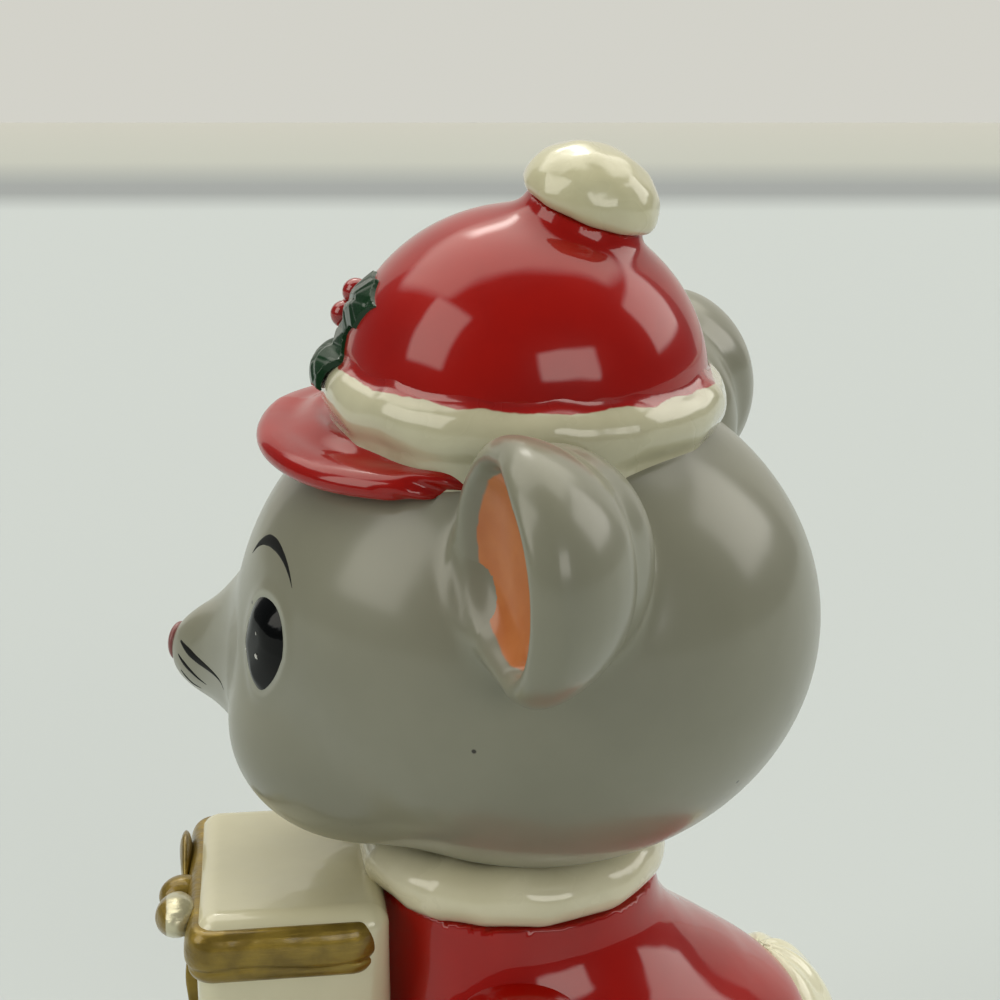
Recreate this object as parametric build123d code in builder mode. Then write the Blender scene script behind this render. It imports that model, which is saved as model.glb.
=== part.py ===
from build123d import *
import os

os.makedirs("parts", exist_ok=True)

# Millimetres, +Z up, the base on Z = 0 and the mouse looking along -Y.
# Its left hand is on +X.  Planes for the head and the hat carry their own turn and lean.

# Pose
head_sink = 3.6
head_back = 0.3
head_turn = -21.0
head_lean = 3.0
hat_rise = 24.0
hat_back = -0.3
hat_tilt = 3.0

# Head
skull_half_width = 30.8
skull_half_depth = 33.2
skull_half_height = 28.7
jowl_half_width = 15.0
jowl_half_depth = 15.5
jowl_half_height = 13.5
jowl_out = 10.5
jowl_forward = 16.4
jowl_drop = 11.0
muzzle_tip_forward = 44.4
muzzle_tip_drop = 9.6
muzzle_length = 18.0
muzzle_pitch = 6.0
muzzle_root_radius = 19.0
muzzle_flank_share = (
    (0.0, 0.115),
    (0.035, 0.19),
    (0.15, 0.265),
    (0.36, 0.37),
    (0.60, 0.57),
    (0.80, 0.77),
    (1.0, 1.0),
)
nose_half_width = 2.7
nose_half_depth = 1.2
nose_half_height = 2.6
nose_rise = 1.0
eye_out = 21.3
eye_forward = 23.2
eye_rise = 1.8
eye_turn = 47.0
eye_half_width = 3.8
eye_half_height = 5.5
eye_half_depth = 2.0

# Ears
ear_out = 35.5
ear_back = 6.95
ear_rise = 18.5
ear_turn = 35.0
ear_radius = 12.9
ear_depth = 12.5
ear_lip = 2.0
ear_dish = 4.2
ear_dish_share = 0.78
ear_back_share = ((1.035, 0.30), (0.93, 0.60), (0.60, 0.90))
ear_root_half_width = 10.0
ear_root_half_depth = 10.5
ear_root_half_height = 13.5
ear_root_in = 6.0
ear_root_back = 7.5
ear_root_drop = 0.5

# Hat
crown_radius = 20.2
crown_height = 19.0
crown_base = 3.4
crown_skirt = 12.0
band_radius = 22.9
band_half_height = 3.3
band_half_thickness = 2.7
band_middle = 2.3
band_skirt_radius = 21.6
band_skirt_depth = 9.0
peak_reach = 29.8
peak_centre_forward = 6.2
peak_root_rise = -0.3
peak_slope = 7.0
peak_thickness = 3.5
peak_inner_radius = 17.0
peak_edge_round = 1.5
pompom_back = 6.0
pompom_rise = 22.4
pompom_tilt = 19.0
pompom_radius = 7.5
pompom_height = 7.0
pompom_tuck = 1.3
neck_radius = 6.5
neck_flare = 1.5

# Holly
leaf_length = 12.0
leaf_half_width = 3.9
leaf_relief = 1.6
leaf_start = 1.2
leaf_spine_share = ((0.0, 0.2), (0.25, 0.86), (0.52, 1.0), (0.78, 0.74), (1.0, 0.0))
leaf_scallop = 0.7
leaf_turns = (-28.0, 24.0, 168.0)
holly_rise = 9.0
holly_reach = 19.1
holly_lean = 20.0
berry_radius = 1.55
berry_spread = 1.65
berry_lift = 1.3

# Body
neck_height = 60.4
coat_radius = 28.2
coat_back = 7.8
coat_table_share = (
    (-0.15, 0.99, 1.0),
    (0.0, 1.0, 1.0),
    (0.15, 1.0, 1.0),
    (0.30, 1.005, 1.0),
    (0.45, 0.995, 1.0),
    (0.60, 0.965, 0.98),
    (0.70, 0.94, 0.93),
    (0.78, 0.815, 0.56),
    (0.855, 0.69, 0.18),
    (0.93, 0.615, -0.06),
    (1.0, 0.59, -0.15),
)
vent_radius = 3.5
vent_depth = 5.0
collar_back = -1.5
collar_radius = 18.5
collar_half_thickness = 4.3
collar_half_height = 3.7
collar_rise = 3.3
hem_height = 8.0
hem_reach = 3.4
hem_foot_reach = 2.2
hem_gap = 0.25

# Arms, from shoulder to wrist
shoulder_out = 17.5
shoulder_back = -2.0
shoulder_height = 45.5
shoulder_radius = 9.2
arm_out = 22.6
arm_forward = 6.0
arm_height = 40.0
elbow_out = 23.0
elbow_forward = 12.0
elbow_height = 36.5
wrist_out = 19.2
wrist_forward = 20.0
wrist_height = 36.0
arm_radius = 8.4
elbow_radius = 7.8
wrist_radius = 6.4
cuff_radius = 8.2
cuff_inner_radius = 4.6
cuff_half_length = 2.9
paw_half_width = 5.4
paw_half_length = 6.6
paw_half_height = 5.2
paw_reach = 6.2

# Feet and tail
foot_out = 11.5
foot_forward = 23.5
foot_half_width = 9.0
foot_half_length = 13.5
foot_height = 7.6
foot_turn = 12.0
tail_radius = 3.0
tail_tip_radius = 1.2
tail_start = 98.0
tail_sweep = 72.0
tail_sections = 6
tail_sink = 1.1
tail_flat = 0.3

# Gift
gift_width = 30.0
gift_depth = 21.6
gift_height = 24.0
gift_top = 62.4
gift_back = 17.0
gift_turn = 2.6
gift_round = 2.6
ribbon_height = 6.2
ribbon_drop = 1.2
ribbon_proud = 1.3
ribbon_back_gap = 1.2
ribbon_round = 1.2
bow_rise = 1.8
bow_loop_half_length = 5.6
bow_loop_radius = 2.7
bow_loop_out = 5.8
bow_loop_tilt = 12.0
bow_loop_forward = 0.9
knot_radius = 2.5
knot_half_depth = 2.9
knot_forward = 0.4
bow_tail_length = 15.0
bow_tail_width = 4.4
bow_tail_notch = 1.8
bow_tail_thickness = 1.6
bow_tail_out = 2.2
bow_tail_spread = 15.0

# Sack
sack_out = 9.0
sack_back = 31.0
sack_middle = 28.2
sack_half_width = 13.0
sack_half_depth = 11.4
sack_half_height = 15.0
sack_neck_radius = 3.4
grip_forward = 10.0
grip_out = 18.5
grip_rise = 10.0
strap_top_out = 24.0
strap_top_back = 1.0
strap_top_rise = 12.0
strap_side_out = 25.2
strap_side_back = 13.0
strap_side_rise = 6.5
strap_low_out = 21.5
strap_low_back = 22.5
strap_low_rise = 12.3

overrun = 5.0
quarter_share = 0.5523


def at(place, x=0.0, y=0.0, z=0.0, turn=(0, 0, 0)):
    """A plane moved and turned within another plane's own axes."""
    return Plane(place.location * Location((x, y, z), turn))


def upright(place):
    """The plane that holds another plane's X and Z axes, for a revolved profile."""
    return Plane(origin=place.origin, x_dir=place.x_dir, z_dir=-place.y_dir)


def spin_axis(place):
    """The line that a plane's profiles are revolved about."""
    return Axis(place.origin, place.z_dir)


def egg(place, half_width, half_depth, half_height):
    """An ellipsoid with its three half sizes along a plane's own axes."""
    with BuildPart() as form:
        Sphere(1)
        scale(by=(half_width, half_depth, half_height))
    return place * form.part


def quarter(start, corner, end):
    """A quarter ellipse from start to end, bowed towards their corner, drawn in the open line."""
    start, corner, end = Vector(start), Vector(corner), Vector(end)
    return Bezier(start, start + (corner - start) * quarter_share, end + (corner - end) * quarter_share, end)


def bead(place, radius, half_height):
    """A half ellipse revolved about a plane's Z axis."""
    with BuildPart() as form:
        with BuildSketch(upright(place)):
            with BuildLine():
                under = quarter((0, -half_height), (radius, -half_height), (radius, 0))
                over = quarter((radius, 0), (radius, half_height), (0, half_height))
                Line(over @ 1, under @ 0)
            make_face()
        revolve(axis=spin_axis(place))
    return form.part


def limb(*stations):
    """A tapering round limb through stations of a point and a radius, each square to the route."""
    points = [point for point, radius in stations]
    last = len(points) - 1
    with BuildPart() as form:
        for index, (point, radius) in enumerate(stations):
            along = points[min(index + 1, last)] - points[max(index - 1, 0)]
            with BuildSketch(Plane(origin=point, z_dir=along)):
                Circle(radius)
        loft()
    return form.part


# Head: a round skull with two low jowls and a short muzzle
collar_middle = neck_height + collar_rise
head_height = collar_middle + collar_half_height - head_sink + skull_half_height
neck_place = at(Plane.XY, y=head_back, z=head_height, turn=(0, 0, head_turn))
head_place = at(neck_place, turn=(0, head_lean, 0))
muzzle_place = at(head_place, y=-muzzle_tip_forward, z=-muzzle_tip_drop, turn=(-90 + muzzle_pitch, 0, 0))
skull = egg(head_place, skull_half_width, skull_half_depth, skull_half_height)
jowls = [
    egg(
        at(head_place, side * jowl_out, -jowl_forward, -jowl_drop),
        jowl_half_width,
        jowl_half_depth,
        jowl_half_height,
    )
    for side in (1, -1)
]

with BuildPart() as head:
    add(skull)
    add(jowls[0])
    add(jowls[1])
    with BuildSketch(upright(muzzle_place)):
        with BuildLine():
            flank = Spline(
                *[
                    (radius * muzzle_root_radius, along * muzzle_length)
                    for along, radius in muzzle_flank_share
                ]
            )
            Polyline(flank @ 1, (0, muzzle_length), (0, 0), flank @ 0)
        make_face()
    revolve(axis=spin_axis(muzzle_place))
head.part.label = "head"

with BuildPart() as nose:
    add(
        egg(
            at(head_place, y=-muzzle_tip_forward, z=nose_rise - muzzle_tip_drop),
            nose_half_width,
            nose_half_depth,
            nose_half_height,
        )
    )
    add(head.part, mode=Mode.SUBTRACT)
nose.part.label = "nose"

# Eyes: tall shallow buttons on the front corners of the face
eyes = []
for side, hand in ((1, "left"), (-1, "right")):
    eye_egg = egg(
        at(head_place, side * eye_out, -eye_forward, eye_rise, turn=(0, 0, side * eye_turn)),
        eye_half_width,
        eye_half_depth,
        eye_half_height,
    )
    with BuildPart() as eye:
        add(eye_egg)
        add(head.part, mode=Mode.SUBTRACT)
    eye.part.label = f"eye_{hand}"
    eyes.append(eye.part)

# Ears: deep dished cups turned half forward, each on a rounded root that runs into the skull
ears = []
for side, hand in ((1, "left"), (-1, "right")):
    ear_base = at(head_place, side * ear_out, ear_back, ear_rise, turn=(0, 0, side * ear_turn))
    ear_place = at(ear_base, turn=(90, 0, 0))
    root = egg(
        at(ear_base, -side * ear_root_in, ear_root_back, -ear_root_drop),
        ear_root_half_width,
        ear_root_half_depth,
        ear_root_half_height,
    )
    with BuildPart() as ear:
        with BuildSketch(upright(ear_place)):
            with BuildLine():
                rim_in = ear_radius - ear_lip
                dish = ThreePointArc(
                    (0, -ear_dish),
                    (rim_in * ear_dish_share, -ear_dish * ear_dish_share),
                    (rim_in, -ear_lip / 2),
                )
                lip = ThreePointArc(dish @ 1, (ear_radius - ear_lip / 2, 0), (ear_radius, -ear_lip / 2))
                back = Spline(
                    lip @ 1,
                    *[(out * ear_radius, -deep * ear_depth) for out, deep in ear_back_share],
                    (0, -ear_depth),
                    tangents=[(0, -1), (-1, 0)],
                )
                Line(back @ 1, dish @ 0)
            make_face()
        revolve(axis=spin_axis(ear_place))
        add(root)
        add(head.part, mode=Mode.SUBTRACT)
    ear.part.label = f"ear_{hand}"
    ears.append(ear.part)

# Hat: a dome with a raised neck for the pompom, a rolled band and a drooping peak
hat_place = at(head_place, y=hat_back, z=hat_rise, turn=(-hat_tilt, 0, 0))
pompom_place = at(hat_place, y=pompom_back, z=pompom_rise, turn=(-pompom_tilt, 0, 0))

with BuildPart() as crown:
    with BuildSketch(upright(hat_place)):
        with BuildLine():
            dome = quarter(
                (crown_radius, crown_base),
                (crown_radius, crown_base + crown_height),
                (0, crown_base + crown_height),
            )
            Polyline(dome @ 1, (0, -crown_skirt), (crown_radius, -crown_skirt), dome @ 0)
        make_face()
    revolve(axis=spin_axis(hat_place))
    with BuildSketch(upright(pompom_place)):
        with BuildLine():
            side_line = Spline(
                (neck_radius, 0),
                (neck_radius + neck_flare / 3, -overrun / 2),
                (neck_radius + neck_flare, -overrun),
            )
            Polyline(side_line @ 1, (0, -overrun), (0, 0), side_line @ 0)
        make_face()
    revolve(axis=spin_axis(pompom_place))
    add(head.part, mode=Mode.SUBTRACT)
    add(ears[0], mode=Mode.SUBTRACT)
    add(ears[1], mode=Mode.SUBTRACT)
crown.part.label = "hat_crown"

with BuildPart() as band:
    with BuildSketch(upright(hat_place)):
        with Locations((band_radius - band_half_thickness, band_middle)):
            Ellipse(band_half_thickness, band_half_height)
        with BuildLine():
            Polyline(
                (band_radius - band_half_thickness, band_middle),
                (band_skirt_radius, band_middle - band_half_height / 2),
                (band_skirt_radius, -band_skirt_depth),
                (crown_radius - overrun, -band_skirt_depth),
                (crown_radius - overrun, band_middle),
                close=True,
            )
        make_face()
    revolve(axis=spin_axis(hat_place))
    add(crown.part, mode=Mode.SUBTRACT)
    add(head.part, mode=Mode.SUBTRACT)
    add(ears[0], mode=Mode.SUBTRACT)
    add(ears[1], mode=Mode.SUBTRACT)
band.part.label = "hat_band"

with BuildPart() as peak:
    with BuildSketch(upright(hat_place)):
        with Locations((peak_inner_radius, peak_root_rise)):
            Rectangle(
                peak_reach, peak_thickness, rotation=-peak_slope, align=(Align.MIN, Align.MAX)
            )
    revolve(axis=spin_axis(hat_place))
    with BuildSketch(at(hat_place, z=-peak_reach)):
        with Locations((0, -peak_centre_forward)):
            Circle(peak_reach - peak_centre_forward)
    extrude(amount=2 * peak_reach, mode=Mode.INTERSECT)
    split(bisect_by=Plane(origin=hat_place.origin, z_dir=-hat_place.y_dir))
    fillet(peak.edges().sort_by(SortBy.LENGTH)[-2:], peak_edge_round)
    add(band.part, mode=Mode.SUBTRACT)
    add(crown.part, mode=Mode.SUBTRACT)
    add(head.part, mode=Mode.SUBTRACT)
    add(ears[0], mode=Mode.SUBTRACT)
    add(ears[1], mode=Mode.SUBTRACT)
peak.part.label = "hat_peak"

with BuildPart() as pompom:
    with BuildSketch(upright(pompom_place)):
        with BuildLine():
            top = quarter((pompom_radius, pompom_tuck), (pompom_radius, pompom_height), (0, pompom_height))
            under = quarter(
                (pompom_radius - pompom_tuck, 0), (pompom_radius, 0), (pompom_radius, pompom_tuck)
            )
            Polyline(top @ 1, (0, 0), under @ 0)
        make_face()
    revolve(axis=spin_axis(pompom_place))
pompom.part.label = "pompom"

# Holly: three scalloped leaves that follow the dome, and three berries where they meet
holly_place = at(hat_place, y=-holly_reach, z=holly_rise, turn=(90 - holly_lean, 0, 0))
with BuildPart() as leaf_skin:
    with BuildSketch(upright(hat_place)):
        with BuildLine():
            skin = quarter(
                (crown_radius + leaf_relief, crown_base),
                (crown_radius + leaf_relief, crown_base + crown_height + leaf_relief),
                (0, crown_base + crown_height + leaf_relief),
            )
            Polyline(skin @ 1, (0, band_middle), (crown_radius + leaf_relief, band_middle), skin @ 0)
        make_face()
        with BuildLine():
            rolled = quarter(
                (crown_radius, band_middle + band_half_height + leaf_relief),
                (band_radius + leaf_relief, band_middle + band_half_height + leaf_relief),
                (band_radius + leaf_relief, band_middle),
            )
            Polyline(rolled @ 1, (crown_radius, band_middle), rolled @ 0)
        make_face()
    revolve(axis=spin_axis(hat_place))
    add(crown.part, mode=Mode.SUBTRACT)
    add(band.part, mode=Mode.SUBTRACT)
    add(head.part, mode=Mode.SUBTRACT)

leaves = []
for number, turn in enumerate(leaf_turns, start=1):
    with BuildPart() as leaf:
        with BuildSketch(at(holly_place, turn=(0, 0, turn))):
            with BuildLine():
                spines = [
                    (leaf_start + along * leaf_length, out * leaf_half_width)
                    for along, out in leaf_spine_share
                ]
                for spine, next_spine in zip(spines, spines[1:]):
                    SagittaArc(spine, next_spine, leaf_scallop)
                Line((leaf_start, 0), spines[0])
                mirror(about=Plane.XZ)
            make_face()
        extrude(amount=leaf_length, both=True)
        add(leaf_skin.part, mode=Mode.INTERSECT)
        for earlier in leaves:
            add(earlier, mode=Mode.SUBTRACT)
    leaf.part.label = f"holly_leaf_{number}"
    leaves.append(leaf.part)

berries = []
for number in range(3):
    with BuildPart() as berry:
        with Locations(at(at(holly_place, turn=(0, 0, number * 120 + 90)), berry_spread, 0, berry_lift)):
            Sphere(berry_radius)
        for earlier in [crown.part, *leaves, *berries]:
            add(earlier, mode=Mode.SUBTRACT)
    berry.part.label = f"holly_berry_{number + 1}"
    berries.append(berry.part)

# Coat: a full bell that stands on the base and slopes in to the neck
with BuildPart() as coat:
    for height, radius, back in coat_table_share:
        with BuildSketch(Plane.XY.offset(height * neck_height)):
            with Locations((0, back * coat_back)):
                Circle(radius * coat_radius)
    loft()
    split(bisect_by=Plane.XY)
    with Locations(at(Plane.XY, y=coat_back, z=vent_depth)):
        Hole(vent_radius, vent_depth)
coat.part.label = "coat"

collar_place = at(Plane.XY, y=collar_back, z=collar_middle)
with BuildPart() as collar:
    with BuildSketch(upright(collar_place)):
        with Locations((collar_radius - collar_half_thickness, 0)):
            Ellipse(collar_half_thickness, collar_half_height)
    revolve(axis=spin_axis(collar_place))
    add(coat.part, mode=Mode.SUBTRACT)
    add(head.part, mode=Mode.SUBTRACT)
collar.part.label = "collar"

hem_place = at(Plane.XY, y=coat_back)
hem_inner = coat_radius + hem_gap
with BuildPart() as hem:
    with BuildSketch(upright(hem_place)):
        with BuildLine():
            Polyline((hem_inner, hem_height), (hem_inner, 0), (coat_radius + hem_foot_reach, 0))
            Spline(
                (coat_radius + hem_foot_reach, 0),
                (coat_radius + hem_reach, hem_height / 2),
                (hem_inner, hem_height),
                tangents=[(1, 1), (-1, 0)],
            )
        make_face()
    revolve(axis=spin_axis(hem_place))
hem.part.label = "coat_hem"

# Feet and tail, flat where they stand
with BuildPart() as foot_bound:
    add(hem.part)
    with Locations(hem_place):
        Cylinder(hem_inner, hem_height, align=(Align.CENTER, Align.CENTER, Align.MIN))
feet = []
for side, hand in ((1, "left"), (-1, "right")):
    sole = at(Plane.XY, side * foot_out, -foot_forward, turn=(0, 0, side * foot_turn))
    foot_egg = egg(sole, foot_half_width, foot_half_length, foot_height)
    with BuildPart() as foot:
        add(foot_egg)
        split(bisect_by=Plane.XY)
        add(foot_bound.part, mode=Mode.SUBTRACT)
    foot.part.label = f"foot_{hand}"
    feet.append(foot.part)

tail_stations = []
for step in range(tail_sections):
    part_way = step / (tail_sections - 1)
    radius = tail_radius + (tail_tip_radius - tail_radius) * part_way
    reach = coat_radius + hem_reach + radius - tail_sink
    route = at(hem_place, turn=(0, 0, tail_start - tail_sweep * part_way))
    tail_stations.append((at(route, x=reach, z=radius - tail_flat).origin, radius))
tail_form = limb(*tail_stations)
with BuildPart() as tail:
    add(tail_form)
    split(bisect_by=Plane.XY)
    add(hem.part, mode=Mode.SUBTRACT)
    add(coat.part, mode=Mode.SUBTRACT)
tail.part.label = "tail"

# Gift: a soft-edged box with a ribbon round its top and a bow on its front
gift_place = at(
    Plane.XY, y=-gift_back - gift_depth / 2, z=gift_top - gift_height / 2, turn=(0, 0, gift_turn)
)
with BuildPart() as gift:
    with Locations(gift_place):
        Box(gift_width, gift_depth, gift_height)
    fillet(gift.edges(), gift_round)
    add(coat.part, mode=Mode.SUBTRACT)
    add(collar.part, mode=Mode.SUBTRACT)
gift.part.label = "gift_box"

ribbon_place = at(
    gift_place,
    y=-(ribbon_proud + ribbon_back_gap) / 2,
    z=gift_height / 2 - ribbon_drop - ribbon_height / 2,
)
with BuildPart() as ribbon:
    with Locations(ribbon_place):
        Box(gift_width + 2 * ribbon_proud, gift_depth + ribbon_proud - ribbon_back_gap, ribbon_height)
    fillet(ribbon.edges().filter_by(Axis.Z).sort_by(Axis.Y)[:2], gift_round + ribbon_proud)
    fillet(ribbon.faces().sort_by(Axis.Z)[-1].edges(), ribbon_round)
    fillet(ribbon.faces().sort_by(Axis.Z)[0].edges(), ribbon_round)
    add(gift.part, mode=Mode.SUBTRACT)
ribbon.part.label = "ribbon"

bow_place = at(
    gift_place, y=-gift_depth / 2 - ribbon_proud, z=gift_height / 2 - ribbon_drop - ribbon_height / 2
)
with BuildPart() as knot:
    add(bead(at(bow_place, y=-knot_forward, turn=(90, 0, 0)), knot_radius, knot_half_depth))
    add(gift.part, mode=Mode.SUBTRACT)
    add(ribbon.part, mode=Mode.SUBTRACT)
knot.part.label = "bow_knot"

loops = []
for side, hand in ((1, "left"), (-1, "right")):
    loop_place = at(
        bow_place, side * bow_loop_out, -bow_loop_forward, bow_rise, turn=(0, 90 - side * bow_loop_tilt, 0)
    )
    with BuildPart() as loop:
        add(bead(loop_place, bow_loop_radius, bow_loop_half_length))
        add(knot.part, mode=Mode.SUBTRACT)
        add(ribbon.part, mode=Mode.SUBTRACT)
        add(gift.part, mode=Mode.SUBTRACT)
    loop.part.label = f"bow_loop_{hand}"
    loops.append(loop.part)

streamers = []
for side, hand in ((1, "left"), (-1, "right")):
    streamer_place = at(
        gift_place,
        side * bow_tail_out,
        -gift_depth / 2,
        gift_height / 2 - ribbon_drop - ribbon_height,
        turn=(90, 0, 0),
    )
    with BuildPart() as streamer:
        with BuildSketch(at(streamer_place, turn=(0, 0, side * bow_tail_spread))):
            with BuildLine():
                Polyline(
                    (-bow_tail_width / 2, bow_tail_width / 2),
                    (-bow_tail_width / 2, -bow_tail_length),
                    (0, bow_tail_notch - bow_tail_length),
                    (bow_tail_width / 2, -bow_tail_length),
                    (bow_tail_width / 2, bow_tail_width / 2),
                    close=True,
                )
            make_face()
        extrude(amount=bow_tail_thickness)
        add(ribbon.part, mode=Mode.SUBTRACT)
        add(knot.part, mode=Mode.SUBTRACT)
        for earlier in [*loops, *streamers]:
            add(earlier, mode=Mode.SUBTRACT)
    streamer.part.label = f"bow_tail_{hand}"
    streamers.append(streamer.part)

# Arms: padded sleeves, puffed cuffs and mitten paws
sleeves, cuffs, paws = [], [], []
for side, hand in ((1, "left"), (-1, "right")):
    shoulder = Vector(side * shoulder_out, shoulder_back, shoulder_height)
    arm = Vector(side * arm_out, -arm_forward, arm_height)
    elbow = Vector(side * elbow_out, -elbow_forward, elbow_height)
    wrist = Vector(side * wrist_out, -wrist_forward, wrist_height)
    wrist_place = Plane(origin=wrist, z_dir=wrist - elbow)
    sleeve_form = limb(
        (shoulder, shoulder_radius), (arm, arm_radius), (elbow, elbow_radius), (wrist, wrist_radius)
    )
    paw_egg = egg(at(wrist_place, z=paw_reach), paw_half_width, paw_half_height, paw_half_length)
    with BuildPart() as cuff:
        with BuildSketch(upright(wrist_place)):
            with BuildLine():
                under = quarter(
                    (cuff_inner_radius, -cuff_half_length), (cuff_radius, -cuff_half_length), (cuff_radius, 0)
                )
                over = quarter(
                    (cuff_radius, 0), (cuff_radius, cuff_half_length), (cuff_inner_radius, cuff_half_length)
                )
                Polyline(over @ 1, (0, cuff_half_length), (0, -cuff_half_length), under @ 0)
            make_face()
        revolve(axis=spin_axis(wrist_place))
        add(coat.part, mode=Mode.SUBTRACT)
        add(gift.part, mode=Mode.SUBTRACT)
    cuff.part.label = f"cuff_{hand}"
    with BuildPart() as sleeve:
        add(sleeve_form)
        add(coat.part, mode=Mode.SUBTRACT)
        add(cuff.part, mode=Mode.SUBTRACT)
        add(gift.part, mode=Mode.SUBTRACT)
    sleeve.part.label = f"sleeve_{hand}"
    with BuildPart() as paw:
        add(paw_egg)
        add(cuff.part, mode=Mode.SUBTRACT)
        add(sleeve.part, mode=Mode.SUBTRACT)
        add(gift.part, mode=Mode.SUBTRACT)
        add(coat.part, mode=Mode.SUBTRACT)
    paw.part.label = f"paw_{hand}"
    sleeves.append(sleeve.part)
    cuffs.append(cuff.part)
    paws.append(paw.part)

# Sack: a full bag on the back, its gathered neck drawn over the right shoulder
with BuildPart() as sack:
    add(
        egg(
            at(Plane.XY, -sack_out, sack_back, sack_middle),
            sack_half_width,
            sack_half_depth,
            sack_half_height,
        )
    )
    add(coat.part, mode=Mode.SUBTRACT)
    add(hem.part, mode=Mode.SUBTRACT)
sack.part.label = "sack"

with BuildPart() as sack_neck:
    with BuildLine():
        gather = Spline(
            (
                -sack_out - sack_half_width / 2,
                sack_back - sack_half_depth / 4,
                sack_middle + sack_half_height / 2,
            ),
            (-strap_low_out, strap_low_back, sack_middle + strap_low_rise),
            (-strap_side_out, strap_side_back, arm_height + strap_side_rise),
            (-strap_top_out, strap_top_back, arm_height + strap_top_rise),
            (-grip_out, -grip_forward, arm_height + grip_rise),
        )
    with BuildSketch(Plane(origin=gather @ 0, z_dir=gather % 0)):
        Circle(sack_neck_radius)
    sweep()
    for neighbour in (coat.part, sack.part, sleeves[1]):
        add(neighbour, mode=Mode.SUBTRACT)
sack_neck.part.label = "sack_neck"

pieces = [head, nose, crown, band, peak, pompom, coat, collar, hem, tail, gift, ribbon, knot, sack, sack_neck]
solids = [piece.part for piece in pieces]
solids += eyes + ears + leaves + berries + feet + loops + streamers + sleeves + cuffs + paws
for solid in solids:
    export_step(solid, f"parts/{solid.label}.step")
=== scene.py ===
import math
import time

import bmesh
import bpy
import numpy as np
import openvdb
from mathutils import Matrix, Vector


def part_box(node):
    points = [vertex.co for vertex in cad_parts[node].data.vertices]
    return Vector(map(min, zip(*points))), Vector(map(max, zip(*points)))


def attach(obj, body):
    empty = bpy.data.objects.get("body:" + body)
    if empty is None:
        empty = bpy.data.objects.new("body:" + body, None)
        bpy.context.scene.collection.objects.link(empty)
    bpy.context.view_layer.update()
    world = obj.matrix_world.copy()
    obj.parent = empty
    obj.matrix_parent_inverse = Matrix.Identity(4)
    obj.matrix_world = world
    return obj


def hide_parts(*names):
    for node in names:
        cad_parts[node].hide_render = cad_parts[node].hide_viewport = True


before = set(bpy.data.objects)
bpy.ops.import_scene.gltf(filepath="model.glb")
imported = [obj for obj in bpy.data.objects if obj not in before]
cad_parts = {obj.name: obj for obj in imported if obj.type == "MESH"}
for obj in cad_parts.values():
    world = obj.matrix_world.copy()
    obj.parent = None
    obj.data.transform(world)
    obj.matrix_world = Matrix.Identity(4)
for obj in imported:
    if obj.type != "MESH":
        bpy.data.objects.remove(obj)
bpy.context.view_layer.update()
startedAt = time.time()


def report(stage):
    print(f"[{time.time() - startedAt:5.1f} s] {stage}")


# places and forms, in millimetres until a mesh is made

def spot(x=0, y=0, z=0, turn=(0, 0, 0), on=None):
    place = (on or Matrix()) @ Matrix.Translation((x, y, z))
    for axis, angle in zip("XYZ", turn):
        place = place @ Matrix.Rotation(math.radians(angle), 4, axis)
    return place


def within(p, place):  # points as that place sees them
    m = np.array(place.inverted())
    return p @ m[:3, :3].T + m[:3, 3]


def outOf(p, place):
    m = np.array(place)
    return p @ m[:3, :3].T + m[:3, 3]


def bulge(scaled, half):  # distance from a stretched ball, for offsets already divided by its half sizes
    near = np.linalg.norm(scaled, axis=1)
    return near * (near - 1) / np.maximum(np.linalg.norm(scaled / half, axis=1), 1e-6)


def egg(place, half):
    half = np.array(half, float)
    return lambda p: bulge(within(p, place) / half, half)


def softMin(soft, a, b):
    h = np.maximum(soft - np.abs(a - b), 0) / soft
    return np.minimum(a, b) - h ** 3 * soft / 6


def join(soft, *forms):  # the clay is filled in between them by up to soft
    def form(p):
        out = forms[0](p)
        for other in forms[1:]:
            out = softMin(soft, out, other(p))
        return out
    return form


def cut(soft, body, *tools):
    def form(p):
        out = body(p)
        for tool in tools:
            out = -softMin(soft, -out, tool(p))
        return out
    return form


def sunk(form, depth):  # cuts a piece so that it still reaches this deep into what carries it
    return lambda p: form(p) + depth


def roundOff(points, times=3):  # corner cutting on an open line
    points = np.array(points, float)
    for _ in range(times):
        a, b = points[:-1], points[1:]
        inner = np.stack([a * 0.75 + b * 0.25, a * 0.25 + b * 0.75], axis=1).reshape(-1, points.shape[1])
        points = np.vstack([points[:1], inner, points[-1:]])
    return points


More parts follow.
